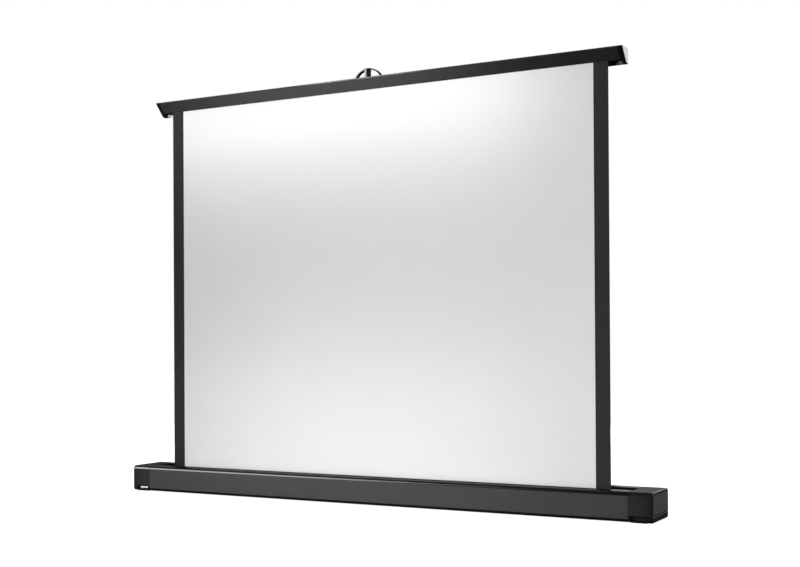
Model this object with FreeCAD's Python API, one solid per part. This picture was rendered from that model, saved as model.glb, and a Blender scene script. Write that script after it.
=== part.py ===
import FreeCAD
import Part
import math
import os

# Tabletop pull-up projection screen, in millimetres.
# Frame: +X along the case to the viewer's right, +Y to the back, +Z up, origin on the table
# under the middle of the case. The screen stands pulled up, with its folding arm locked straight.

# Case: an extruded channel with a slot along its top, closed by a moulded cap at each end
case_overhang = 46.5
case_depth = 84.0
case_height = 47.0
case_wall = 2.0
case_top_radius = 6.0
case_bottom_radius = 5.0
slot_lip_depth = 3.5
slot_front_room = 5.2
slot_rear_room = 3.0
cap_length = 38.5
cap_wall = 2.4
cap_end_wall = 3.6
cap_edge_radius = 1.8
seam_width = 0.8
seam_depth = 0.6
parting_chamfer = 0.8
cover_recess = 1.8
cover_margin = 2.2
cover_low_margin = 1.0
cover_high_margin = 4.0
cover_corner = 2.5
cover_edge_radius = 0.4
cover_gap = 0.25
cover_sink = 0.2

# Pull-out feet, in guides under the end caps
pad_height = 0.8
pad_radius = 6.0
pad_spread = 44.0
guide_height = 10.6
guide_floor = 2.6
guide_roof = 1.2
guide_spigot = 2.0
guide_spigot_gap = 2.0
foot_width = 25.0
foot_inset = 4.2
foot_rear_gap = 3.0
foot_toe = 6.2
foot_notch = 3.8
foot_ramp = 1.5
foot_ramp_radius = 0.8
foot_notch_radius = 1.0
foot_tip_radius = 0.6
foot_sole_radius = 2.4
foot_clearance = 0.25
toe_clearance = 0.3

# Screws that hold the caps, in round channels of the extrusion
channel_inset = 5.2
channel_low_z = 14.6
channel_drop = 7.0
channel_wall = 1.9
screw_radius = 1.65
screw_head_radius = 2.6
screw_head_height = 2.4
screw_bite = 14.0
screw_boss_wall = 1.0
screw_clearance = 0.1

# Screen: a white sheet with black side borders, pulled off a spring roller
picture_width = 807.0
picture_height = 665.0
border_width = 24.5
border_thickness = 0.1
fabric_thickness = 0.35
fabric_clearance = 0.3
screen_y = -12.3
roller_radius = 10.0
roller_wall = 1.2
roller_z = 26.0
roller_overhang = 2.0
wrap_thickness = 0.6
plug_length = 20.0
plug_flange = 2.0
axle_radius = 4.0
spindle_radius = 3.5
spindle_flat = 4.0
spindle_length = 184.0
bush_radius = 6.0
bush_depth = 11.5
bush_flange = 2.0
bush_flange_radius = 8.0
bearing_wall = 3.0
shaft_end_gap = 1.0
flat_run_out = 1.0
spring_wire = 1.4
spring_radius = 6.0
spring_turns = 12
anchor_length = 8.0
anchor_radius = 7.5
run_clearance = 0.05

# Top bar: a hollow wedge-shaped extrusion with a groove for the hem of the sheet
bar_overhang = 28.0
bar_height = 18.5
bar_top_depth = 30.0
bar_bottom_depth = 15.0
bar_nose = 2.0
bar_lip = 1.2
bar_wall = 1.8
bar_edge_radius = 0.8
bar_trim_radius = 0.3
hem_radius = 2.2
hem_clearance = 0.3
hem_height = 5.5
hem_slit = 1.2
hem_wall = 1.6
bar_cap_length = 3.0
bar_cap_plug = 12.0
bar_trim = 0.8
bar_trim_margin = 1.0
lug_length = 31.5
lug_height = 5.8
lug_block = 12.0
lug_wall = 2.0
lug_margin = 1.0

# Flat bail on the bar, and the saddle of the arm head under its crown
bail_thickness = 2.4
bail_width = 8.0
bail_edge_radius = 0.4
bail_setback = 9.4
bail_height = 15.8
bail_span = 51.0
bail_tail = 4.0
saddle_width = 4.4
saddle_depth = 16.0
saddle_setback = 2.0
saddle_corner = 1.6
saddle_radius = 0.6
saddle_drop = 1.6
saddle_groove_room = 6.0
tongue_width = 11.0
tongue_setback = 8.5
tongue_thickness = 2.0

# Folding arm behind the sheet: two equal flat links that pass their straight line and lock
link_thickness = 3.0
link_width = 13.0
link_eye = 8.5
link_gap = 0.8
pivot_radius = 3.0
pivot_head_radius = 5.5
pivot_head = 1.2
washer_radius = 7.5
washer_clearance = 0.1
base_pivot_z = 20.0
lock_angle = 3.0
closed_gap = 1.0
stop_thickness = 3.0
stop_rise = 0.6
stop_length = 10.0
stop_gap = 0.1
stop_heel_radius = 3.0
stop_tip_radius = 1.0
head_width = 34.0
head_rivet_spread = 22.0
head_waist_drop = 2.0
head_waist_rise = 3.0
head_top_margin = 2.0
head_radius = 4.0
head_neck_radius = 2.0
bracket_width = 60.0
bracket_depth = 22.0
bracket_gusset = 3.0
bracket_front_radius = 2.0
bracket_rear_radius = 4.0
rivet_radius = 1.95
rivet_head_radius = 3.6
rivet_head = 1.4
rivet_margin = 6.0

# How far a cut runs past the face that it opens, and the distance at which two points are one
cut_past = 1.0
touching = 1e-4

# Places worked out from the sizes above
fabric_width = picture_width + 2 * border_width
bar_length = fabric_width + 2 * bar_overhang
case_length = bar_length + 2 * case_overhang
profile_end = case_length / 2 - cap_length
case_end = case_length / 2
front_y = -case_depth / 2
rear_y = case_depth / 2
floor_z = pad_height + case_wall
bar_bottom_z = case_height + picture_height
bar_top_z = bar_bottom_z + bar_height
bar_front_y = screen_y - bar_lip
bar_back_y = bar_front_y + bar_bottom_depth
bar_crest_y = bar_back_y - bar_top_depth
bar_lean = (bar_top_depth - bar_bottom_depth) / (bar_height - bar_nose)
bar_profile_end = bar_length / 2 - bar_trim - bar_cap_length
head_y = (bar_back_y, bar_back_y + link_thickness)
upper_y = (head_y[1] + link_gap, head_y[1] + link_gap + link_thickness)
lower_y = (upper_y[1] + link_gap, upper_y[1] + link_gap + link_thickness)
bracket_y = (lower_y[1] + link_gap, lower_y[1] + link_gap + link_thickness)
slot_front_y = screen_y - slot_front_room
slot_rear_y = lower_y[1] + slot_rear_room
wrap_radius = roller_radius + wrap_thickness
roller_y = screen_y - fabric_thickness / 2 - fabric_clearance - wrap_radius
roller_end = fabric_width / 2 + roller_overhang
shaft_tip = profile_end + bush_depth - shaft_end_gap
spindle_end = shaft_tip - spindle_length
hem_z = bar_bottom_z + hem_height
channel_y = case_depth / 2 - channel_inset
channel_levels = (channel_low_z, case_height - channel_drop)
channel_places = [(y, z) for y in (-channel_y, channel_y) for z in channel_levels]
bore_radius = screw_radius + run_clearance
boss_radius = bore_radius + channel_wall
foot_near = profile_end + foot_inset
foot_far = foot_near + foot_width
foot_mid = foot_near + foot_width / 2
guide_floor_z = pad_height + guide_floor
guide_roof_z = guide_height - guide_roof
screw_seat = case_end - cover_recess - screw_head_height - cover_sink
bail_radius = ((bail_span / 2) ** 2 + bail_height ** 2) / (2 * bail_height)
bail_centre_z = bar_top_z + bail_height - bail_radius
bail_y = bar_crest_y + bail_setback + bail_width / 2
tongue_y = bar_crest_y + tongue_setback
saddle_z = bar_top_z + tongue_thickness
saddle_top_z = bar_top_z + bail_height + bail_thickness / 2 - saddle_drop
lock = math.radians(lock_angle)
link_pitch = (picture_height - closed_gap) / (2 * math.cos(lock))
head_pivot_z = base_pivot_z + 2 * link_pitch * math.cos(lock)
knee_x = -link_pitch * math.sin(lock)
knee_z = base_pivot_z + link_pitch * math.cos(lock)

# Axes of the plane that each direction of extrusion leaves over
PLANE = {
    "x": lambda u, v, w: FreeCAD.Vector(w, u, v),
    "y": lambda u, v, w: FreeCAD.Vector(u, w, v),
    "z": lambda u, v, w: FreeCAD.Vector(u, v, w),
}


def outline(axis, corners, level):
    """Closed face across an axis, from corners (u, v) or (u, v, radius of the rounded corner)."""
    place = PLANE[axis]
    runs = []
    count = len(corners)
    for i in range(count):
        at = place(corners[i][0], corners[i][1], level)
        radius = corners[i][2] if len(corners[i]) > 2 else 0.0
        before = place(corners[i - 1][0], corners[i - 1][1], level) - at
        after = place(corners[(i + 1) % count][0], corners[(i + 1) % count][1], level) - at
        before.normalize()
        after.normalize()
        half = before.getAngle(after) / 2
        if radius <= 0:
            runs.append((at, at, at))
            continue
        reach = radius / math.tan(half)
        middle = (before + after).normalize() * (radius / math.sin(half) - radius)
        runs.append((at + before * reach, at + middle, at + after * reach))
    edges = []
    for i in range(count):
        start, middle, end = runs[i]
        if start != end:
            edges.append(Part.Arc(start, middle, end).toShape())
        following = runs[(i + 1) % count][0]
        if end.distanceToPoint(following) > touching:
            edges.append(Part.LineSegment(end, following).toShape())
    return Part.Face(Part.Wire(edges))


def prism(axis, low, high, corners):
    """Outline carried from low to high along an axis."""
    return outline(axis, corners, low).extrude(PLANE[axis](0, 0, high - low))


def rectangle(u0, u1, v0, v1, radius=0.0, top_radius=None):
    """Corners of a rectangle, with one radius below and another above."""
    top = radius if top_radius is None else top_radius
    return [(u0, v0, radius), (u1, v0, radius), (u1, v1, top), (u0, v1, top)]


def rod(axis, u, v, radius, low, high):
    """Round bar along an axis."""
    return Part.makeCylinder(radius, high - low, PLANE[axis](u, v, low), PLANE[axis](0, 0, 1))


def block(x0, x1, y0, y1, z0, z1):
    return Part.makeBox(x1 - x0, y1 - y0, z1 - z0, FreeCAD.Vector(x0, y0, z0))


def joined(shapes):
    return shapes[0].multiFuse(shapes[1:]).removeSplitter()


def mirrored(shape, normal=FreeCAD.Vector(1, 0, 0)):
    return shape.mirror(FreeCAD.Vector(0, 0, 0), normal)


def rounded(shape, radius, chosen):
    """Shape with the edges for which chosen(box of the edge) holds rounded off."""
    return shape.makeFillet(radius, [edge for edge in shape.Edges if chosen(edge.BoundBox)])


def at_x(box, x):
    return abs(box.XMin - x) < touching and abs(box.XMax - x) < touching


def case_profile():
    """Extruded channel: rounded outside, a slot with turned-down lips, four screw channels."""
    span = (-profile_end, profile_end)
    outer = rectangle(front_y, rear_y, pad_height, case_height, case_bottom_radius, case_top_radius)
    inner = rectangle(front_y + case_wall, rear_y - case_wall, floor_z, case_height - case_wall,
                      case_bottom_radius - case_wall, case_top_radius - case_wall)
    shell = prism("x", *span, outer).cut(prism("x", *span, inner))
    lips = [block(*span, y - case_wall, y, case_height - slot_lip_depth, case_height - case_wall / 2)
            for y in (slot_front_y, slot_rear_y + case_wall)]
    channels = [rod("x", y, z, boss_radius, *span) for y, z in channel_places]
    body = joined([shell] + lips + channels)
    cuts = [block(*span, slot_front_y, slot_rear_y, case_height - slot_lip_depth, case_height + cut_past)]
    cuts += [rod("x", y, z, bore_radius, *span) for y, z in channel_places]
    cuts += [rod("z", x, y, rivet_radius, 0, floor_z) for x, y in bracket_rivet_places()]
    return body.cut(cuts)


def cover_outline(gap):
    """Rounded rectangle of the sunk panel in the end of a cap, drawn in all round by a gap."""
    return rectangle(front_y + cover_margin + gap, rear_y - cover_margin - gap,
                     guide_height + cover_low_margin + gap, case_height - cover_high_margin - gap,
                     cover_corner - gap)


def seam():
    """Shallow groove round the right end, where the cap and the foot guide meet the extrusion."""
    span = (profile_end, profile_end + seam_width)
    around = block(*span, front_y - cut_past, rear_y + cut_past, 0, case_height + cut_past)
    core = rectangle(front_y + seam_depth, rear_y - seam_depth, pad_height + seam_depth,
                     case_height - seam_depth, case_bottom_radius - seam_depth, case_top_radius - seam_depth)
    return around.cut(prism("x", *span, core))


def end_cap():
    """Right end cap: a moulded shell with screw bosses, a bearing boss and a sunk end panel."""
    outer = prism("x", profile_end, case_end,
                  rectangle(front_y, rear_y, guide_height, case_height, 0.0, case_top_radius))
    outer = rounded(outer, cap_edge_radius, lambda b: at_x(b, case_end) and b.ZMax > guide_height + touching)
    depth = (profile_end, case_end - cap_end_wall)
    inside = prism("x", *depth, rectangle(front_y + cap_wall, rear_y - cap_wall, guide_height,
                                          case_height - cap_wall, 0.0, case_top_radius - cap_wall))
    head_bore = screw_head_radius + screw_clearance
    bearing_bore = bush_radius + run_clearance
    bosses = [rod("x", y, z, head_bore + screw_boss_wall, *depth) for y, z in channel_places]
    bosses.append(rod("x", roller_y, roller_z, bearing_bore + bearing_wall, *depth))
    body = joined([outer.cut(inside)] + [boss.common(outer) for boss in bosses])
    cuts = [prism("x", case_end - cover_recess, case_end + cut_past, cover_outline(0.0))]
    for y, z in channel_places:
        cuts.append(rod("x", y, z, screw_radius + screw_clearance, profile_end, case_end))
        cuts.append(rod("x", y, z, head_bore, screw_seat, case_end))
    bearing_depth = bush_depth + screw_clearance
    cuts.append(rod("x", roller_y, roller_z, bearing_bore, profile_end, profile_end + bearing_depth))
    return body.cut(cuts + [seam()])


def cap_cover():
    """Flat panel that snaps into the end of the right cap, over its screws."""
    face = case_end - cover_sink
    plate = prism("x", case_end - cover_recess, face, cover_outline(cover_gap))
    return rounded(plate, cover_edge_radius, lambda b: at_x(b, face))


def cap_screws():
    """Four screws from under the right cover into the channels of the case."""
    return Part.makeCompound([
        joined([rod("x", y, z, screw_head_radius, screw_seat, screw_seat + screw_head_height),
                rod("x", y, z, screw_radius, profile_end - screw_bite, screw_seat)])
        for y, z in channel_places])


def foot_guide():
    """Sole of the right end: a channel for the two feet, a chamfered rim and a spigot into the cap."""
    outer = prism("x", profile_end, case_end,
                  rectangle(front_y, rear_y, pad_height, guide_height, case_bottom_radius, 0.0))
    outer = rounded(outer, cap_edge_radius, lambda b: at_x(b, case_end) and b.ZMin < guide_height - touching)
    rim = [edge for edge in outer.Edges if edge.BoundBox.ZMin > guide_height - touching
           and edge.BoundBox.XMax > profile_end + touching]
    outer = outer.makeChamfer(parting_chamfer, rim)
    spigot_reach = channel_y - screw_head_radius - guide_spigot_gap
    spigot = block(profile_end, case_end - cap_end_wall - foot_clearance, -spigot_reach, spigot_reach,
                   guide_height, guide_height + guide_spigot)
    body = joined([outer, spigot])
    side = (foot_near - foot_clearance, foot_far + foot_clearance)
    floor_reach = case_depth / 2 - foot_toe - foot_clearance
    channel = block(*side, front_y - cut_past, rear_y + cut_past, guide_floor_z, guide_roof_z)
    toes = [block(*side, y0, y1, 0, guide_roof_z)
            for y0, y1 in ((front_y - cut_past, -floor_reach), (floor_reach, rear_y + cut_past))]
    return body.cut([channel, seam()] + toes)


def foot():
    """Front right foot: a flat bar with a turned-down toe and a sloped finger notch above it."""
    tip = front_y + toe_clearance
    sole = guide_floor_z + foot_clearance
    top = guide_roof_z - foot_clearance
    heel = -foot_rear_gap
    sole_radius = min(foot_sole_radius, guide_floor_z - toe_clearance - foot_tip_radius)
    side = [(heel, sole), (heel, top), (tip + foot_notch + foot_ramp, top, foot_ramp_radius),
            (tip + foot_notch, guide_floor_z, foot_notch_radius), (tip, guide_floor_z, foot_tip_radius),
            (tip, toe_clearance, sole_radius), (front_y + foot_toe, toe_clearance),
            (front_y + foot_toe, sole)]
    return prism("x", foot_near, foot_far, side)


def rest_pads():
    """Four rubber discs under the foot guides, which the screen stands on."""
    return Part.makeCompound([rod("z", x, y, pad_radius, 0, pad_height)
                              for x in (-foot_mid, foot_mid) for y in (-pad_spread / 2, pad_spread / 2)])


def bush(opening):
    """Flanged bearing pressed into the boss of a cap, with the opening that its shaft needs."""
    body = joined([rod("x", roller_y, roller_z, bush_radius, profile_end, profile_end + bush_depth),
                   rod("x", roller_y, roller_z, bush_flange_radius, profile_end - bush_flange, profile_end)])
    return body.cut(opening)


def idle_bush():
    return bush(rod("x", roller_y, roller_z, axle_radius + run_clearance, 0, case_end))


def flatted(radius, thickness, low, high):
    """Round bar on the roller's axis, flattened above and below."""
    half = thickness / 2
    flat = block(low, high, roller_y - radius, roller_y + radius, roller_z - half, roller_z + half)
    return rod("x", roller_y, roller_z, radius, low, high).common(flat)


def spindle_socket():
    """Left bearing, whose flat-sided hole stops the spindle from turning."""
    hole = flatted(spindle_radius + run_clearance, spindle_flat + 2 * run_clearance, 0, case_end)
    return mirrored(bush(hole))


def spindle():
    """Fixed bar in the left end of the roller, flattened where the socket grips it."""
    flat_from = profile_end - bush_flange - flat_run_out
    bar = rod("x", roller_y, roller_z, spindle_radius, spindle_end, flat_from)
    return mirrored(joined([bar, flatted(spindle_radius, spindle_flat, flat_from, shaft_tip)]))


def spring_anchor():
    """Collar on the inner end of the spindle, which holds the still end of the spring."""
    span = (spindle_end, spindle_end + anchor_length)
    collar = rod("x", roller_y, roller_z, anchor_radius, *span)
    return mirrored(collar.cut(rod("x", roller_y, roller_z, spindle_radius, *span)))


def winding_spring():
    """Square-wire torsion spring on the spindle, between the collar and the left plug."""
    half = spring_wire / 2
    low = spindle_end + anchor_length + fabric_clearance + half
    high = roller_end - plug_length - fabric_clearance - half
    helix = Part.makeHelix((high - low) / spring_turns, high - low, spring_radius)
    corners = [(spring_radius - half, -half), (spring_radius + half, -half),
               (spring_radius + half, half), (spring_radius - half, half)]
    section = Part.makePolygon([FreeCAD.Vector(u, 0, v) for u, v in corners + corners[:1]])
    coil = Part.Wire(helix.Edges).makePipeShell([section], True, True)
    coil.rotate(FreeCAD.Vector(0, 0, 0), FreeCAD.Vector(0, 1, 0), 90)
    coil.translate(FreeCAD.Vector(low, roller_y, roller_z))
    return mirrored(coil)


def roller_tube():
    """Thin steel tube that the sheet winds on."""
    tube = rod("x", roller_y, roller_z, roller_radius, -roller_end, roller_end)
    return tube.cut(rod("x", roller_y, roller_z, roller_radius - roller_wall, -roller_end, roller_end))


def plug():
    """Flanged plug in the right end of the tube."""
    return joined([rod("x", roller_y, roller_z, roller_radius, roller_end, roller_end + plug_flange),
                   rod("x", roller_y, roller_z, roller_radius - roller_wall - run_clearance,
                       roller_end - plug_length, roller_end)])


def idle_plug():
    """Right plug with the axle that turns in the idle bush."""
    axle = rod("x", roller_y, roller_z, axle_radius, roller_end, shaft_tip)
    return joined([plug(), axle])


def drive_plug():
    """Left plug, which turns on the spindle and winds the spring."""
    return mirrored(plug().cut(rod("x", roller_y, roller_z, spindle_radius + run_clearance, 0, case_end)))


def fabric_wrap():
    """The turns of the sheet that never leave the roller."""
    half = fabric_width / 2
    wrap = rod("x", roller_y, roller_z, wrap_radius, -half, half)
    return wrap.cut(rod("x", roller_y, roller_z, roller_radius, -half, half))


def screen_fabric():
    """The sheet, straight up from the roller to the hem in the bar."""
    half = fabric_width / 2
    return block(-half, half, screen_y - fabric_thickness / 2, screen_y + fabric_thickness / 2,
                 roller_z, hem_z - hem_radius - run_clearance)


def black_border():
    """Black masking layer down the right side of the picture, on the front of the sheet."""
    face = screen_y - fabric_thickness / 2
    return block(picture_width / 2, fabric_width / 2, face - border_thickness, face, roller_z, bar_bottom_z)


def hem_rod():
    """Plastic rod welded into the hem, which the groove of the bar holds."""
    return rod("x", screen_y, hem_z, hem_radius, -fabric_width / 2, fabric_width / 2)


def bar_front(z, inset=0.0):
    """Place of the sloping front of the bar at a height, drawn in square to the slope by an inset."""
    return bar_front_y - bar_lean * (z - bar_bottom_z) + inset * math.hypot(1.0, bar_lean)


def bar_outline(radius, inset=0.0, drop=0.0):
    """Wedge section of the bar: flat top, upright back and nose, and a front that slopes to the sheet."""
    low, high = bar_bottom_z - drop + inset, bar_top_z - inset
    nose_y = bar_crest_y + inset
    nose_z = bar_bottom_z + (bar_front(bar_bottom_z, inset) - nose_y) / bar_lean
    nose_radius = min(radius, (high - nose_z) / (1 + math.tan(math.atan(bar_lean) / 2)))
    return [(bar_front(low, inset), low, radius), (bar_back_y - inset, low, radius),
            (bar_back_y - inset, high, radius), (nose_y, high, nose_radius), (nose_y, nose_z, nose_radius)]


def bar_hollow(inset=0.0):
    """Section of the room inside the bar, above and behind the groove for the hem."""
    wall = bar_wall + inset
    floor, roof = bar_bottom_z + wall, bar_top_z - wall
    groove = hem_radius + hem_clearance + hem_wall + inset
    shelf = hem_z + groove
    back = screen_y + groove
    return [(back, floor), (bar_back_y - wall, floor), (bar_back_y - wall, roof),
            (bar_front(roof, wall), roof), (bar_front(shelf, wall), shelf), (back, shelf)]


def bail_ring(clearance=0.0, outward=0.0):
    """Flat strip of the bail turned about its centre, with clearance and room outwards if asked."""
    reach = math.acos((bar_top_z - bail_tail - bail_centre_z) / bail_radius)
    centre = FreeCAD.Vector(0, bail_y, bail_centre_z)
    turn = FreeCAD.Vector(0, 1, 0)
    half = bail_width / 2 + clearance
    rise = bail_thickness / 2 + clearance
    crown_z = bail_centre_z + bail_radius
    strip = outline("x", rectangle(bail_y - half, bail_y + half, crown_z - rise, crown_z + rise + outward,
                                   bail_edge_radius), 0.0)
    strip.rotate(centre, turn, -math.degrees(reach))
    return strip.revolve(centre, turn, 2 * math.degrees(reach))


def top_bar():
    """Wedge extrusion with its hollow, the groove and slit for the hem, and holes for the bail."""
    span = (-bar_profile_end, bar_profile_end)
    body = prism("x", *span, bar_outline(bar_edge_radius))
    cuts = [prism("x", *span, bar_hollow()),
            rod("x", screen_y, hem_z, hem_radius + hem_clearance, *span),
            block(*span, screen_y - hem_slit / 2, screen_y + hem_slit / 2, bar_bottom_z - cut_past, hem_z),
            bail_ring(run_clearance)]
    cuts += [rod("y", x, z, rivet_radius, bar_back_y - bar_wall - cut_past, bar_back_y)
             for x, z in head_rivet_places()]
    return body.cut(cuts)


def bar_end_cap():
    """Right end of the bar: a plate with a plug into the hollow and a lug that drops into the slot."""
    end = bar_profile_end + bar_cap_length
    rear = bar_back_y - lug_margin
    lug_z = bar_bottom_z - lug_height
    plate = prism("x", bar_profile_end, end, bar_outline(bar_edge_radius, 0.0, lug_height))
    plug_body = prism("x", bar_profile_end - bar_cap_plug, bar_profile_end, bar_hollow(screw_clearance))
    lug = prism("x", end - lug_block, end, [
        (bar_front_y, bar_bottom_z), (bar_front(lug_z), lug_z, bar_edge_radius),
        (rear, lug_z, bar_edge_radius), (rear, bar_bottom_z)])
    wall = block(end - lug_length, end - lug_block, rear - lug_wall, rear, lug_z, bar_bottom_z)
    return joined([plate, plug_body, lug, wall])


def bar_end_plate():
    """Thin bright trim plate on the right end of the bar."""
    low = bar_profile_end + bar_cap_length
    return prism("x", low, low + bar_trim, bar_outline(bar_trim_radius, bar_trim_margin, lug_height))


def bail():
    """Flat strip bent to an arch, its ends sprung into two slots in the top of the bar."""
    return bail_ring()


def bail_saddle():
    """Upright plate on the tongue of the arm head, notched to carry the crown of the bail."""
    half = saddle_width / 2
    front = bar_crest_y + saddle_setback
    back = front + saddle_depth
    body = prism("x", -half, half, [
        (front, bar_top_z), (tongue_y, bar_top_z), (tongue_y, saddle_z), (back, saddle_z),
        (back, saddle_top_z, saddle_corner), (front, saddle_top_z, saddle_corner)])
    body = rounded(body, saddle_radius,
                   lambda b: (at_x(b, half) or at_x(b, -half)) and b.ZMax > saddle_z + touching)
    return body.cut(bail_ring(screw_clearance, saddle_groove_room))


def head_rivet_places():
    return [(x, bar_bottom_z + bar_height / 2) for x in (-head_rivet_spread / 2, head_rivet_spread / 2)]


def arm_head():
    """Steel plate on the back of the bar: the arm's upper eye below, a tongue over the bar above."""
    half = head_width / 2
    neck = tongue_width / 2
    right = [(link_eye, head_pivot_z), (link_eye, bar_bottom_z - head_waist_drop, head_radius),
             (half, bar_bottom_z + head_waist_rise, head_radius),
             (half, bar_top_z - head_top_margin, head_radius),
             (neck, bar_top_z, head_neck_radius), (neck, saddle_z)]
    left = [(-corner[0], *corner[1:]) for corner in reversed(right)]
    plate = prism("y", *head_y, right + left)
    eye = rod("y", 0, head_pivot_z, link_eye, *head_y)
    tongue = block(-neck, neck, tongue_y, head_y[1], bar_top_z, saddle_z)
    body = joined([plate, eye, tongue])
    cuts = [rod("y", 0, head_pivot_z, pivot_radius + run_clearance, *head_y)]
    cuts += [rod("y", x, z, rivet_radius, *head_y) for x, z in head_rivet_places()]
    return body.cut(cuts)


def head_rivets():
    """Two blind rivets that hold the arm head to the back wall of the bar."""
    return Part.makeCompound([
        joined([rod("y", x, z, rivet_radius, bar_back_y - bar_wall, head_y[1]),
                rod("y", x, z, rivet_head_radius, head_y[1], head_y[1] + rivet_head)])
        for x, z in head_rivet_places()])


def pivot_pin(x, z, low, high, head_low):
    """Rivet of a pivot, flush at one end, with a round head at the low or the high end."""
    head = (low - pivot_head, low) if head_low else (high, high + pivot_head)
    return joined([rod("y", x, z, pivot_radius, low, high), rod("y", x, z, pivot_head_radius, *head)])


def head_pin():
    return pivot_pin(0, head_pivot_z, head_y[0], upper_y[1], True)


def knee_pin():
    return pivot_pin(knee_x, knee_z, upper_y[0], lower_y[1], True)


def base_pin():
    return pivot_pin(0, base_pivot_z, lower_y[0], bracket_y[1], False)


def washer(x, z, low, high):
    """Plastic disc that keeps two pieces of the arm apart."""
    disc = rod("y", x, z, washer_radius, low + washer_clearance, high - washer_clearance)
    return disc.cut(rod("y", x, z, pivot_radius + run_clearance, low, high))


def link(layer):
    """Upright flat bar between two eyes, with its lower pivot at the origin."""
    half = link_width / 2
    body = joined([prism("y", *layer, rectangle(-half, half, 0, link_pitch)),
                   rod("y", 0, 0, link_eye, *layer), rod("y", 0, link_pitch, link_eye, *layer)])
    return body.cut([rod("y", 0, z, pivot_radius + run_clearance, *layer) for z in (0, link_pitch)])


def placed(shape, x, z, angle):
    """Link turned about its lower pivot and moved to its place."""
    shape.rotate(FreeCAD.Vector(0, 0, 0), FreeCAD.Vector(0, 1, 0), angle)
    shape.translate(FreeCAD.Vector(x, 0, z))
    return shape


def upper_link():
    return placed(link(upper_y), knee_x, knee_z, lock_angle)


def lower_link():
    """Lower link, with a turned-over stop that the upper link leans on once it is past straight."""
    side = (link_width / 2 + stop_gap, link_width / 2 + stop_gap + stop_thickness)
    rise = (link_eye + stop_rise, link_eye + stop_rise + stop_length)
    arm = prism("y", *lower_y, [(-stop_thickness, 0), (-stop_thickness, rise[1], stop_heel_radius),
                                (side[1], rise[1], stop_tip_radius), (side[1], 0)])
    ear = block(*side, upper_y[0], lower_y[1], *rise)
    stop = placed(joined([arm, ear]), 0, link_pitch, 2 * lock_angle)
    knee_hole = rod("y", 0, link_pitch, pivot_radius + run_clearance, *lower_y)
    return placed(joined([link(lower_y), stop]).cut(knee_hole), 0, base_pivot_z, -lock_angle)


def bracket_rivet_places():
    x = bracket_width / 2 - rivet_margin
    rows = (bracket_y[1] + rivet_margin, bracket_y[0] + bracket_depth - rivet_margin)
    return [(side, y) for side in (-x, x) for y in rows]


def arm_bracket():
    """Steel foot of the arm: a flange on the case floor, an upright plate and two gussets."""
    half = link_eye + bracket_gusset
    side = bracket_width / 2
    front, rear = bracket_y[0], bracket_y[0] + bracket_depth
    top = floor_z + link_thickness
    flange = prism("z", floor_z, top, [
        (-side, front, bracket_front_radius), (side, front, bracket_front_radius),
        (side, rear, bracket_rear_radius), (-side, rear, bracket_rear_radius)])
    plate = prism("y", *bracket_y, rectangle(-half, half, floor_z, base_pivot_z + link_eye, 0.0, link_eye))
    slope = [(bracket_y[1], top), (rear, top), (bracket_y[1], base_pivot_z)]
    gussets = [prism("x", x, x + bracket_gusset, slope) for x in (-half, link_eye)]
    body = joined([flange, plate] + gussets)
    cuts = [rod("y", 0, base_pivot_z, pivot_radius + run_clearance, *bracket_y)]
    cuts += [rod("z", x, y, rivet_radius, floor_z, top) for x, y in bracket_rivet_places()]
    return body.cut(cuts)


def bracket_rivets():
    """Rivets through the flange and the floor of the case, flush underneath."""
    top = floor_z + link_thickness
    return Part.makeCompound([
        joined([rod("z", x, y, rivet_radius, pad_height, top),
                rod("z", x, y, rivet_head_radius, top, top + rivet_head)])
        for x, y in bracket_rivet_places()])


backwards = FreeCAD.Vector(0, 1, 0)
parts = {
    "case_profile": case_profile(),
    "rest_pads": rest_pads(),
    "spindle_socket": spindle_socket(),
    "idle_bush": idle_bush(),
    "spindle": spindle(),
    "spring_anchor": spring_anchor(),
    "winding_spring": winding_spring(),
    "roller_tube": roller_tube(),
    "drive_plug": drive_plug(),
    "idle_plug": idle_plug(),
    "fabric_wrap": fabric_wrap(),
    "screen_fabric": screen_fabric(),
    "hem_rod": hem_rod(),
    "top_bar": top_bar(),
    "bail": bail(),
    "bail_saddle": bail_saddle(),
    "arm_head": arm_head(),
    "head_rivets": head_rivets(),
    "head_pin": head_pin(),
    "head_washer": washer(0, head_pivot_z, head_y[1], upper_y[0]),
    "upper_link": upper_link(),
    "knee_pin": knee_pin(),
    "knee_washer": washer(knee_x, knee_z, upper_y[1], lower_y[0]),
    "lower_link": lower_link(),
    "base_pin": base_pin(),
    "base_washer": washer(0, base_pivot_z, lower_y[1], bracket_y[0]),
    "arm_bracket": arm_bracket(),
    "bracket_rivets": bracket_rivets(),
    "foot_front_right": foot(),
    "foot_front_left": mirrored(foot()),
    "foot_rear_right": mirrored(foot(), backwards),
    "foot_rear_left": mirrored(mirrored(foot(), backwards)),
}
both_ends = {
    "end_cap": end_cap(),
    "cap_cover": cap_cover(),
    "cap_screws": cap_screws(),
    "foot_guide": foot_guide(),
    "black_border": black_border(),
    "bar_end_cap": bar_end_cap(),
    "bar_end_plate": bar_end_plate(),
}
for name, right in both_ends.items():
    parts[name + "_right"] = right
    parts[name + "_left"] = mirrored(right)

os.makedirs("parts", exist_ok=True)
for name, shape in parts.items():
    shape.exportStep(os.path.join("parts", name + ".step"))
    print(f"{name}: {len(shape.Solids)} solids, {shape.Volume / 1000:.2f} cm3, valid {shape.isValid()}")
print(f"links {link_pitch:.3f} between pivots, knee at x {knee_x:.3f} z {knee_z:.3f}")
print(f"head pivot z {head_pivot_z:.3f}, roller axis y {roller_y:.3f} z {roller_z:.3f}")
print(f"case {case_length:.1f} long, bar {bar_length:.1f} long, sheet {fabric_width:.1f} wide")
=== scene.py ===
import math

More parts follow.
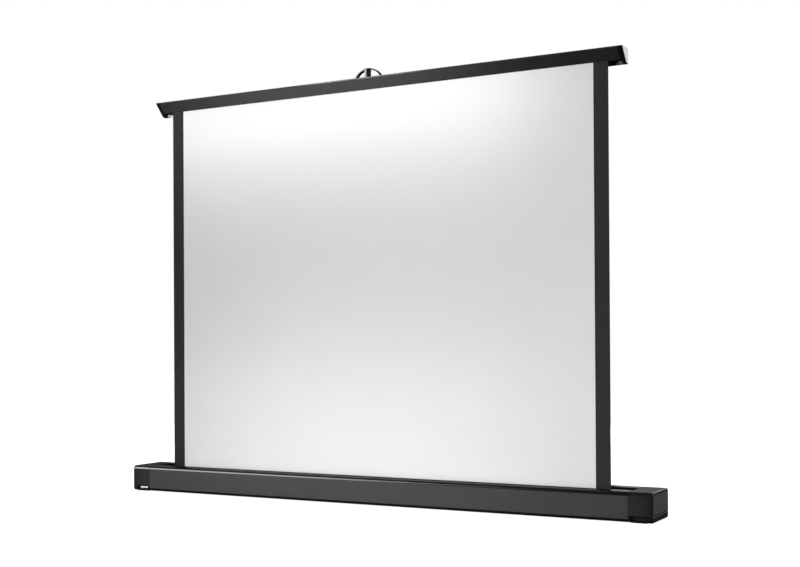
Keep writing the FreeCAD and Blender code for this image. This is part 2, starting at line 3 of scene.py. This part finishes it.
import bpy
import numpy as np
from mathutils import Matrix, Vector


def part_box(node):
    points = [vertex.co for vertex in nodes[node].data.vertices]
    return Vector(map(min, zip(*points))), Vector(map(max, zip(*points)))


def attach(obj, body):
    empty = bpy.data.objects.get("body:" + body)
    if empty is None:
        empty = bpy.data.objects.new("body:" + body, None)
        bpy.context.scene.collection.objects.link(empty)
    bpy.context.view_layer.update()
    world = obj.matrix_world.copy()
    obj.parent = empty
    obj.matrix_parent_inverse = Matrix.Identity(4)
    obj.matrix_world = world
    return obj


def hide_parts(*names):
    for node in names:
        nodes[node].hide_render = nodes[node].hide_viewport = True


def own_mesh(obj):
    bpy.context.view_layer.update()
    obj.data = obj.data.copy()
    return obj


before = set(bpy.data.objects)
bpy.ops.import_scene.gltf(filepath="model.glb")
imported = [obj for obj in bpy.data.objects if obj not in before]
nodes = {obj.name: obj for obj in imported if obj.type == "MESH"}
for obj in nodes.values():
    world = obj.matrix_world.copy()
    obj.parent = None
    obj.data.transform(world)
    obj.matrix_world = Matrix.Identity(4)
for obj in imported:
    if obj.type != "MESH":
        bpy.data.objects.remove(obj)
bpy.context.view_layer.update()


# The case: a long channel of extruded aluminium with a slot along its top, coated black, with a
# dark grey flat front and back. The black of its rounded long edges is painted shade. The die
# leaves faint lines along it, under the fine grain of the coat.
# Its top past the right border of the sheet is painted lighter and glossier, as a painted sheen.
class Field:
    """A quantity that varies over a surface, held as a node's output. Arithmetic adds Math nodes."""

    def __init__(self, tree, socket=None):
        self.tree = tree
        self.socket = socket

    def node(self, kind, settings, inputs, output=0):
        """Adds a node of a kind, with its settings first and then the values or links of its sockets."""
        made = self.tree.nodes.new(kind)
        for name, value in settings.items():
            setattr(made, name, value)
        for name, value in inputs.items():
            if isinstance(value, Field):
                self.tree.links.new(value.socket, made.inputs[name])
            else:
                made.inputs[name].default_value = value
        return Field(self.tree, made.outputs[output])

    def math(self, operation, first, second=0.0):
        return self.node("ShaderNodeMath", {"operation": operation}, {0: first, 1: second})

    def __add__(self, other):
        return self.math("ADD", self, other)

    def __sub__(self, other):
        return self.math("SUBTRACT", self, other)

    def __rsub__(self, other):
        return self.math("SUBTRACT", other, self)

    def __mul__(self, other):
        return self.math("MULTIPLY", self, other)

    __radd__ = __add__
    __rmul__ = __mul__

    def size(self):
        """Distance from zero."""
        return self.math("ABSOLUTE", self)

    def wave(self, length):
        """Sine of this coordinate, from -1 to 1, that repeats after a length in metres."""
        return self.math("SINE", self * (2 * math.pi / length))

    def noise(self, per_metre, detail=2.0):
        """Cloudy noise from 0 to 1 on this position, with so many features to the metre along each axis."""
        place = self.node("ShaderNodeMapping", {}, {"Vector": self, "Scale": per_metre})
        return place.node("ShaderNodeTexNoise", {}, {"Vector": place, "Scale": 1.0, "Detail": detail}, "Fac")

    def step(self, low, high):
        """Rises smoothly from 0 at low to 1 at high."""
        return self.node("ShaderNodeMapRange", {"interpolation_type": "SMOOTHSTEP"},
                         {"Value": self, "From Min": low, "From Max": high})

    def past(self, limit, blur=0.0002):
        """0 below a limit and 1 above it, with a blur on each side of it."""
        return self.step(limit - blur, limit + blur)

    def within(self, low, high, blur):
        """1 between low and high and 0 outside, with a blur at both."""
        return self.past(low, blur) * (1 - self.past(high, blur))

    def between(self, first, second):
        """Colour that goes from the first to the second as this field goes from 0 to 1."""
        return self.node("ShaderNodeMix", {"data_type": "RGBA"}, {0: self, 6: first, 7: second}, 2)

    def axis(self, name):
        """One coordinate, X, Y or Z, of this position."""
        return self.node("ShaderNodeSeparateXYZ", {}, {"Vector": self}, name)

    def seen(self):
        """1 for light that goes straight to the camera, through glass too, and 0 for the rest."""
        kinds = ("Is Camera Ray", "Is Transmission Ray")
        return self.math("MAXIMUM", *[self.node("ShaderNodeLightPath", {}, {}, kind) for kind in kinds])

    def mirrored(self):
        """1 for light that a surface mirrors, and 0 for the rest."""
        return self.node("ShaderNodeLightPath", {}, {}, "Is Glossy Ray")

    def feed(self, shader, socket):
        """Links this field to a socket of a shader."""
        self.tree.links.new(self.socket, shader.inputs[socket])

    def emboss(self, shader, depth):
        """Raises the surface of a shader by this field times a depth in metres."""
        height = self * depth
        bump = height.node("ShaderNodeBump", {}, {"Height": height, "Distance": 1.0}, "Normal")
        bump.feed(shader, "Normal")


def grey(level, blue=0.0):
    """Linear colour of a level, with a share more of blue."""
    return (level, level, level * (1 + blue), 1.0)


def set_constants(shader, constants):
    """Sets sockets that are the same all over, named with _ for each space."""
    for socket, value in constants.items():
        shader.inputs[socket.replace("_", " ")].default_value = value


def new_finish(name, **constants):
    """Material with a Principled shader, its constant sockets, and the position on the piece in metres."""
    material = bpy.data.materials.new(name)
    material.use_nodes = True
    shader = material.node_tree.nodes["Principled BSDF"]
    set_constants(shader, constants)
    return material, shader, Field(material.node_tree).node("ShaderNodeTexCoord", {}, {}, "Object")


def laid_over(mask, **constants):
    """One more Principled shader of a material, which hides those before it where the mask is 1."""
    tree = mask.tree
    last = tree.nodes["Material Output"]
    under = Field(tree, last.inputs["Surface"].links[0].from_socket)
    upper = tree.nodes.new("ShaderNodeBsdfPrincipled")
    set_constants(upper, constants)
    layers = {0: mask, 1: under, 2: Field(tree, upper.outputs[0])}
    mask.node("ShaderNodeMixShader", {}, layers).feed(last, "Surface")
    return upper


def dress(material, *names):
    """Puts a finish on carried-over pieces."""
    for name in names:
        nodes[name].data.materials.clear()
        nodes[name].data.materials.append(material)


COAT_BLUE = 0.05


def powder_coat(shader, place, level, roughness):
    """Grain of 0.4 mm over die lines a third of a millimetre wide, with broad clouds in tone and gloss."""
    lines = place.noise(per_metre=(6.0, 3000.0, 3000.0))
    grain = place.noise(per_metre=(2500.0, 2500.0, 2500.0))
    clouds = place.noise(per_metre=(7.0, 30.0, 30.0))
    tone = 0.5 * clouds + 0.3 * lines + 0.2 * grain
    tone.between(grey(0.75 * level, COAT_BLUE), grey(1.25 * level, COAT_BLUE)).feed(shader, "Base Color")
    (roughness - 0.08 + 0.1 * clouds + 0.06 * lines).feed(shader, "Roughness")
    (0.4 * lines + 0.6 * grain).emboss(shader, depth=0.00002)


def coated(name, texture, level, roughness, gloss=0.5, **constants):
    """Material with one texture all over, and the position on the piece in metres."""
    material, shader, place = new_finish(name, Specular_IOR_Level=gloss, **constants)
    texture(shader, place, level, roughness)
    return material, place


def add_layer(place, mask, texture, level, roughness, gloss=0.5):
    """Lays another texture over a material where the mask is 1."""
    texture(laid_over(mask, Specular_IOR_Level=gloss), place, level, roughness)


# Blurs at the borders of finishes, and how deep below a flat face its finish reaches
CRISP = 0.0001
SOFT = 0.0003
FACE_DEPTH = 0.0004
CASE_TOP_RADIUS = 0.006
CASE_BOTTOM_RADIUS = 0.005
EDGE_MARGIN = 0.0006
case_low, case_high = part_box("case_profile")
edge_z = case_high.z - CASE_TOP_RADIUS


def flat_sides(place):
    """1 on the flat front and back of the case, between its rounded long edges, and 0 elsewhere."""
    upright = place.axis("Z").within(case_low.z + CASE_BOTTOM_RADIUS, edge_z, SOFT)
    return place.axis("Y").size().past(case_high.y - FACE_DEPTH) * upright


def long_edges(place):
    """1 on the two rounded upper edges along the case, and 0 elsewhere."""
    edge_y = case_high.y - CASE_TOP_RADIUS + EDGE_MARGIN
    return place.axis("Y").size().past(edge_y) * place.axis("Z").past(edge_z, CRISP)


def flat_top(place):
    """1 on the flat top of the case and its caps, and 0 elsewhere."""
    return place.axis("Z").past(case_high.z - FACE_DEPTH)


SHINE_BEFORE, SHINE_AFTER = 0.012, 0.006
sheet_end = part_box("screen_fabric")[1].x
case_coat, place = coated("case_coat", powder_coat, level=0.008, roughness=0.5, gloss=0.01)
# Painted sheen on the top of the case, from just before the right border of the sheet to its end.
painted_sheen_end = place.axis("X").step(sheet_end - SHINE_BEFORE, sheet_end + SHINE_AFTER)
add_layer(place, painted_sheen_end * flat_top(place), powder_coat, level=0.02, roughness=0.35, gloss=0.1)
# Painted shade: the grey goes on the flat front and back only, so the rounded long edges stay black.
add_layer(place, flat_sides(place), powder_coat, level=0.052, roughness=0.6, gloss=0.12)
add_layer(place, long_edges(place), powder_coat, level=0.006, roughness=0.2, gloss=0.28)
dress(case_coat, "case_profile")


# The ends of the case: moulded caps and soles in black plastic, with a sunk panel snapped over the
# screws of each cap. The mould is spark eroded, so the flat faces have a fine grain and little gloss.
# The top of the left cap has almost none, as painted shade. The grey on the flat sides darkens towards
# each end and stops short of it, as painted shade, and the black of the rounded edges is painted shade
# as on the case.
def moulded_plastic(shader, place, level, roughness):
    """Spark-eroded grain of 0.4 mm, with faint flow clouds from the mould."""
    grain = place.noise(per_metre=(2400.0, 2400.0, 2400.0), detail=3.0)
    flow = place.noise(per_metre=(40.0, 25.0, 25.0))
    (0.6 * flow + 0.4 * grain).between(grey(0.8 * level), grey(1.2 * level)).feed(shader, "Base Color")
    (roughness - 0.1 + 0.14 * grain + 0.06 * flow).feed(shader, "Roughness")
    grain.emboss(shader, depth=0.00003)


# Distances in from the end of a cap: where painted shade darkens its flat sides from and to, where
# they stop for the painted shade of its rounded corner, and its rim
SHADE_FROM, SHADE_TO = 0.0285, 0.0085
CORNER_SHADE, CORNER_SHADE_BLUR = 0.0065, 0.0005
CAP_RIM = 0.0015
SHADE_SHARE = 0.6
cap_low, cap_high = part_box("end_cap_right")
cap_plastic, place = coated("cap_plastic", moulded_plastic, level=0.016, roughness=0.45, gloss=0.05)
shaded_left_cap = 1 - place.axis("X").past(0.0)
# Painted shade: the top of the left cap gets almost no gloss, so it reads darker than the right one.
add_layer(place, shaded_left_cap * flat_top(place), moulded_plastic, level=0.03, roughness=0.6, gloss=0.003)
from_middle = place.axis("X").size()
# Painted shade: the grey of the flat sides darkens towards the end of each cap and stops short of it,
# leaving black for a shaded rounded corner.
painted_shade_to_end = 1 - SHADE_SHARE * from_middle.step(cap_high.x - SHADE_FROM, cap_high.x - SHADE_TO)
flats = flat_sides(place) * painted_shade_to_end * (1 - from_middle.past(cap_high.x - CORNER_SHADE, CORNER_SHADE_BLUR))
add_layer(place, flats, moulded_plastic, level=0.0235, roughness=0.55, gloss=0.08)
edges = long_edges(place) + from_middle.past(cap_high.x - CAP_RIM)
add_layer(place, edges, moulded_plastic, level=0.006, roughness=0.24, gloss=0.45)
dress(cap_plastic, "end_cap_left", "end_cap_right")

SOLE_RIM = 0.0009
sole_plastic, place = coated("sole_plastic", moulded_plastic, level=0.007, roughness=0.45, gloss=0.1)
sole_rim = place.axis("Z").past(cap_low.z - SOLE_RIM, CRISP)
add_layer(place, sole_rim, moulded_plastic, level=0.006, roughness=0.22)
dress(sole_plastic, "foot_guide_left", "foot_guide_right")

PANEL_BORDER = 0.00335
panel_plastic, place = coated("panel_plastic", moulded_plastic, level=0.063, roughness=0.6, gloss=0.1)
panel_border = place.axis("Y").size().past(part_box("cap_cover_right")[1].y - PANEL_BORDER)
add_layer(place, panel_border, moulded_plastic, level=0.008, roughness=0.5, gloss=0.1)
dress(panel_plastic, "cap_cover_left", "cap_cover_right")


# Screws, rivets and pivot pins: turned steel with a zinc plate, which fine scratches and clouds
# dull a little. They hold the caps to the case, and the arm to the case and the bar.
def plated_steel(shader, place, level, roughness):
    """Bright plating with fine scratches and a slightly clouded gloss."""
    scratches = place.noise(per_metre=(400.0, 4000.0, 400.0), detail=3.0)
    clouds = place.noise(per_metre=(150.0, 150.0, 150.0))
    (0.5 * scratches + 0.5 * clouds).between(grey(0.8 * level), grey(level, 0.02)).feed(shader, "Base Color")
    (roughness - 0.08 + 0.16 * clouds).feed(shader, "Roughness")
    scratches.emboss(shader, depth=0.000008)


zinc_plate = coated("zinc_plate", plated_steel, level=0.6, roughness=0.34, Metallic=1.0)[0]
dress(zinc_plate, "cap_screws_left", "cap_screws_right", "bracket_rivets", "head_rivets",
      "base_pin", "knee_pin", "head_pin")


# The pull-out feet under the caps, in plastic that fingers have polished above the toe, and the
# rubber discs under the soles that the screen stands on.
POLISHED_HEIGHT = 0.00355
foot_plastic, place = coated("foot_plastic", moulded_plastic, level=0.008, roughness=0.5, gloss=0.1)
polished = place.axis("Z").past(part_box("foot_front_right")[1].z - POLISHED_HEIGHT)
add_layer(place, polished, moulded_plastic, level=0.012, roughness=0.2, gloss=0.8)
dress(foot_plastic, "foot_front_left", "foot_front_right", "foot_rear_left", "foot_rear_right")
pad_rubber = coated("pad_rubber", moulded_plastic, level=0.018, roughness=0.85, gloss=0.3)[0]
dress(pad_rubber, "rest_pads")


# The spring roller inside the case: a steel tube between plastic bearings, with a spring on a
# fixed spindle in its left end. The hem rod and the washers of the arm are of the same plastic.
roller_zinc = coated("roller_zinc", plated_steel, level=0.5, roughness=0.42, Metallic=1.0)[0]
dress(roller_zinc, "roller_tube", "spindle", "winding_spring")
bearing_plastic = coated("bearing_plastic", moulded_plastic, level=0.55, roughness=0.4)[0]
dress(bearing_plastic, "drive_plug", "idle_plug", "spindle_socket", "idle_bush", "spring_anchor",
      "hem_rod", "base_washer", "knee_washer", "head_washer")


# The folding arm behind the sheet: flat steel links and plates, stamped, bent and coated dark grey.
# The bracket is riveted to the floor of the case, and the head to the back of the bar.
arm_coat = coated("arm_coat", powder_coat, level=0.07, roughness=0.42)[0]
dress(arm_coat, "arm_bracket", "lower_link", "upper_link", "arm_head")


# The screen: matt white coated cloth with a blackout back, pulled off the roller, and a black
# border printed on a strip that is welded down each side of its front.
def slab(name, x_range, y_range, z_range, columns, rows):
    """Thin sheet: a loop of points, along the front from left to right and back along the rear,
    carried straight up."""
    across = np.linspace(x_range[0], x_range[1], columns)
    points = np.empty((rows, 2 * columns, 3))
    points[..., 0] = np.concatenate([across, across[::-1]])
    points[..., 1] = np.repeat(y_range, columns)
    points[..., 2] = np.linspace(z_range[0], z_range[1], rows)[:, None]
    index = np.arange(rows * 2 * columns).reshape(rows, 2 * columns)
    following = np.roll(index, -1, axis=1)
    walls = np.stack([index[:-1], following[:-1], following[1:], index[1:]], axis=-1).reshape(-1, 4)
    front, rear = index[:, :columns], index[:, columns:][:, ::-1]
    lower = np.stack([front[0, 1:], front[0, :-1], rear[0, :-1], rear[0, 1:]], axis=-1)
    upper = np.stack([front[-1, :-1], front[-1, 1:], rear[-1, 1:], rear[-1, :-1]], axis=-1)
    mesh = bpy.data.meshes.new(name)
    mesh.from_pydata(points.reshape(-1, 3).tolist(), [], np.concatenate([walls, lower, upper]).tolist())
    facing_back = np.ones(len(mesh.polygons), np.int32)
    facing_back[: len(walls)] = np.tile(np.arange(2 * columns) >= columns - 1, rows - 1)
    mesh.polygons.foreach_set("material_index", facing_back)
    piece = bpy.data.objects.new(name, mesh)
    bpy.context.scene.collection.objects.link(piece)
    return piece


THREAD = 0.0007


def coated_cloth(shader, place, level, roughness):
    """Threads every 0.7 mm both ways, pressed nearly flat under the coat, with faint clouds."""
    weave = 0.5 + 0.5 * (place.axis("X").wave(THREAD) * place.axis("Z").wave(THREAD))
    clouds = place.noise(per_metre=(11.0, 11.0, 11.0))
    tone = 0.3 * weave + 0.7 * clouds
    tone.between(grey(0.97 * level, 0.015), grey(1.03 * level, 0.015)).feed(shader, "Base Color")
    (roughness - 0.05 + 0.1 * clouds).feed(shader, "Roughness")
    weave.emboss(shader, depth=0.00001)


SHEET_ROWS = 60
sheet_white = coated("sheet_white", coated_cloth, level=0.82, roughness=0.9, gloss=0.2)[0]
sheet_black = coated("sheet_black", coated_cloth, level=0.0345, roughness=0.8, gloss=0.03)[0]
for node, slot_name, front_finish, columns in (("screen_fabric", "sheet_white", sheet_white, 90),
                                               ("black_border_left", "sheet_black", sheet_black, 6),
                                               ("black_border_right", "sheet_black", sheet_black, 6)):
    low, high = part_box(node)
    piece = slab(node.replace("fabric", "sheet").replace("border", "painted_edge_highlight"),
                 (low.x, high.x), (low.y, high.y), (low.z, high.z), columns, SHEET_ROWS)
    piece.data.materials.append(front_finish)
    piece.data.materials.append(sheet_black)
    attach(piece, "base")
    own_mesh(piece)
    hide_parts(node)
dress(sheet_black, "fabric_wrap")


# The top bar: a wedge-shaped extrusion in a smoother black coat, matt on its nose but painted lighter
# and glossier on the nose around the bail, as a painted highlight. Its underside and the last few
# millimetres of its ends are black, the underside as painted shade. Its plastic ends have a lug below,
# with painted highlights, pale in the left one and grey on the right one, and a thin bright plate outside.
BLUISH = (0.92, 0.95, 1.0, 1.0)
HIGHLIGHT_FROM, HIGHLIGHT_TO = 0.07, 0.15
BLACK_END, BLACK_RISE = 0.0044, 0.0002
bar_low, bar_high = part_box("top_bar")
bar_coat, place = coated("bar_coat", powder_coat, level=0.012, roughness=0.22,
                         gloss=0.88, Specular_Tint=BLUISH)
from_middle = place.axis("X").size()
nose = 1 - place.axis("Y").past(bar_low.y + FACE_DEPTH, CRISP)
add_layer(place, nose, powder_coat, level=0.02, roughness=0.45, gloss=0.1)
# Painted highlight: the nose is lighter and glossier in the middle, fading out between 70 and 150 mm from
# it.
painted_nose_highlight = nose * (1 - from_middle.step(HIGHLIGHT_FROM, HIGHLIGHT_TO))
add_layer(place, painted_nose_highlight, powder_coat, level=0.05, roughness=0.25, gloss=0.3)
# Painted shade: the underside is black and nearly without gloss, and so are the last few millimetres at each
# end.
shaded_underside = 1 - place.axis("Z").past(bar_low.z + BLACK_RISE, CRISP)
ends_and_shaded_underside = from_middle.past(bar_high.x - BLACK_END) + shaded_underside
add_layer(place, ends_and_shaded_underside, powder_coat, level=0.005, roughness=0.5, gloss=0.05)
dress(bar_coat, "top_bar")

# Distances in from the ends of the bar, down from its underside and forward from its back, of the
# painted highlights on the lugs
LEFT_LIT_NEAR, LEFT_LIT_FAR, LEFT_LIT_DOWN, LEFT_LIT_FORWARD = 0.0118, 0.0212, 0.0015, 0.00975
RIGHT_LIT_NEAR, RIGHT_LIT_FAR, RIGHT_LIT_DOWN = 0.0052, 0.0183, 0.00245
left_tip, right_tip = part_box("bar_end_cap_left")[0].x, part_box("bar_end_cap_right")[1].x
bar_end, place = coated("bar_end_plastic", moulded_plastic, level=0.005, roughness=0.5, gloss=0.02)
across, height = place.axis("X"), place.axis("Z")
# Painted highlight: a pale mark on the left lug.
left_lug_highlight = across.within(left_tip + LEFT_LIT_NEAR, left_tip + LEFT_LIT_FAR, CRISP)
left_lug_highlight = left_lug_highlight * (1 - height.past(bar_low.z - LEFT_LIT_DOWN)) * place.axis("Y").past(bar_high.y - LEFT_LIT_FORWARD)
add_layer(place, left_lug_highlight, moulded_plastic, level=0.85, roughness=0.3, gloss=0.5)
# Painted highlight: a grey mark on the right lug.
patch = across.within(right_tip - RIGHT_LIT_FAR, right_tip - RIGHT_LIT_NEAR, SOFT)
patch = patch * (1 - height.past(bar_low.z - RIGHT_LIT_DOWN))
add_layer(place, patch, moulded_plastic, level=0.09, roughness=0.4, gloss=0.2)
dress(bar_end, "bar_end_cap_left", "bar_end_cap_right")
bright_trim = coated("bright_trim", plated_steel, level=0.72, roughness=0.3, Metallic=1.0)[0]
dress(bright_trim, "bar_end_plate_left", "bar_end_plate_right")


# The bail: a strip of spring steel coated black, sprung into the bar, and under its crown the upright
# plate on the arm head that carries it. Both are matt on their broad sides, with a painted highlight,
# lighter and glossier, on their front edge: on the bail only on the left part of its thickness, which
# faces the light from the left, and not at its crown.
BAIL_SPLIT = 0.0016
CROWN_FROM, CROWN_TO = 0.004, 0.007
LIT_EDGE_DEPTH = 0.0003
SQUARE_MILLIMETRES = 1000000.0


def arch_left(place):
    """1 on the left part of the bail's thickness, which is outside on its left arm and inside on its
    right: there, x and the distance out from the middle line have opposite signs."""
    low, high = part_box("bail")
    half_span, rise = (high.x - low.x) / 2, high.z - low.z
    radius = (half_span ** 2 + rise ** 2) / (2 * rise)
    x = place.axis("X")
    height = place.axis("Z") - (high.z - radius)
    outward = x.math("SQRT", x * x + height * height) - (radius - BAIL_SPLIT)
    return 1 - (x * outward * SQUARE_MILLIMETRES).step(-1.0, 1.0)


for node in ("bail", "bail_saddle"):
    strip_coat, place = coated(node + "_coat", powder_coat, level=0.008, roughness=0.45, gloss=0.05)
    # Painted highlight: the front edge is lighter and glossier; on the bail only on its left part and not at
    # its crown.
    painted_edge_highlight = 1 - place.axis("Y").past(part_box(node)[0].y + LIT_EDGE_DEPTH, CRISP)
    if node == "bail":
        painted_edge_highlight = painted_edge_highlight * arch_left(place) * place.axis("X").size().step(CROWN_FROM, CROWN_TO)
    add_layer(place, painted_edge_highlight, powder_coat, level=0.05, roughness=0.3, gloss=0.6)
    dress(strip_coat, node)


# Around it: a plain white floor and backdrop. Lamps light the sheet along its top and foot, and the
# rest from the right and from behind. Two softboxes on the left show only in the gloss, as does a lit
# patch of the floor that the bar mirrors.
FLOOR_HALF = 8.0
FLOOR_GLOW = 0.75
MIRRORED_FLOOR = 0.06
LIT_LEFT, LIT_RIGHT, LIT_BACK = (-1.22, -0.65), (-0.44, 0.03), (-0.26, -0.14)
floor_mesh = bpy.data.meshes.new("floor")
floor_mesh.from_pydata([(-FLOOR_HALF, -FLOOR_HALF, 0), (FLOOR_HALF, -FLOOR_HALF, 0),
                        (FLOOR_HALF, FLOOR_HALF, 0), (-FLOOR_HALF, FLOOR_HALF, 0)], [], [(0, 1, 2, 3)])
floor = bpy.data.objects.new("floor", floor_mesh)
bpy.context.scene.collection.objects.link(floor)
floor_white, shader, place = new_finish("floor_white", Base_Color=grey(0.8), Roughness=1.0,
                                        Specular_IOR_Level=0.0, Emission_Strength=1.0)
(FLOOR_GLOW * place.seen()).feed(shader, "Emission Color")
lit = place.axis("X").step(*LIT_LEFT) * (1 - place.axis("X").step(*LIT_RIGHT))
lit = lit * (1 - place.axis("Y").step(*LIT_BACK))
shader = laid_over(place.mirrored(), Base_Color=grey(0.0), Specular_IOR_Level=0.0, Emission_Strength=1.0)
(MIRRORED_FLOOR + (1 - MIRRORED_FLOOR) * lit).feed(shader, "Emission Color")
floor.data.materials.append(floor_white)

AMBIENT = 0.355
MIRRORED_ROOM = 0.1
BACKDROP_FRONT, BACKDROP_TOP = (0.0, 0.3), (0.35, 0.6)
world = bpy.data.worlds.new("studio")
bpy.context.scene.world = world
world.use_nodes = True
toward = Field(world.node_tree).node("ShaderNodeTexCoord", {}, {}, "Generated")
behind_and_low = toward.axis("Y").step(*BACKDROP_FRONT) * (1 - toward.axis("Z").step(*BACKDROP_TOP))
backdrop = MIRRORED_ROOM + (1 - MIRRORED_ROOM) * behind_and_low
level = AMBIENT + (1 - AMBIENT) * toward.seen() + (backdrop - AMBIENT) * toward.mirrored()
level.feed(world.node_tree.nodes["Background"], "Color")


def soft_light(name, place, aim, size, watts):
    """Rectangular lamp at a place, turned to face along a direction."""
    lamp = bpy.data.lights.new(name, "AREA")
    lamp.shape = "RECTANGLE"
    lamp.size, lamp.size_y = size
    lamp.energy = watts
    lamp_object = bpy.data.objects.new(name, lamp)
    turn = math.atan2(aim[1], aim[0]) - math.pi / 2
    tilt = math.atan2(aim[2], math.hypot(aim[0], aim[1])) + math.pi / 2
    lamp_object.matrix_world = (Matrix.Translation(place) @ Matrix.Rotation(turn, 4, "Z")
                                @ Matrix.Rotation(tilt, 4, "X"))
    lamp_object.visible_camera = False
    bpy.context.scene.collection.objects.link(lamp_object)
    return lamp_object


for lamp in (
    soft_light("top_strip", (-0.125, -0.18, 0.72), aim=(0, 1, -0.5), size=(0.85, 0.03), watts=0.75),
    soft_light("low_strip", (-0.045, -0.42, 0.08), aim=(0, 1, -0.4), size=(0.75, 0.03), watts=1.27),
    soft_light("foot_strip", (0.02, -0.034, 0.054), aim=(0, 1, 0), size=(0.86, 0.006), watts=0.018),
    soft_light("right_fill", (1.2, -0.6, 0.55), aim=(-1.2, 0.6, 0), size=(0.3, 0.3), watts=4.2),
    soft_light("back_fill", (-0.6, 1.8, 0.9), aim=(0.6, -1.8, -0.5), size=(1.2, 1.2), watts=26),
):
    lamp.visible_glossy = False
for lamp in (
    soft_light("left_softbox", (-1.5, -1.58, 0.7), aim=(1.5, 1.58, -0.35), size=(1.05, 1.1), watts=64),
    soft_light("front_softbox", (-0.97, -1.73, 1.14), aim=(0.97, 1.7, -0.41), size=(0.4, 0.25), watts=6),
):
    lamp.visible_diffuse = False

SENSOR_WIDTH = 36.0
LENS = 55.375
LENS_SHIFT = 0.0654
CAMERA_PLACE = (1.0533, -1.8480, 0.2736)
CAMERA_YAW = math.radians(28.499)
CAMERA_PITCH = math.radians(0.377)
CAMERA_ROLL = math.radians(-0.321)
camera = bpy.data.cameras.new("camera")
camera.sensor_width = SENSOR_WIDTH
camera.lens = LENS
camera.shift_y = LENS_SHIFT
camera_object = bpy.data.objects.new("camera", camera)
camera_object.matrix_world = (Matrix.Translation(CAMERA_PLACE) @ Matrix.Rotation(CAMERA_YAW, 4, "Z")
                              @ Matrix.Rotation(math.pi / 2 + CAMERA_PITCH, 4, "X")
                              @ Matrix.Rotation(CAMERA_ROLL, 4, "Z"))
bpy.context.scene.collection.objects.link(camera_object)
bpy.context.scene.camera = camera_object
bpy.context.scene.view_settings.view_transform = "Standard"
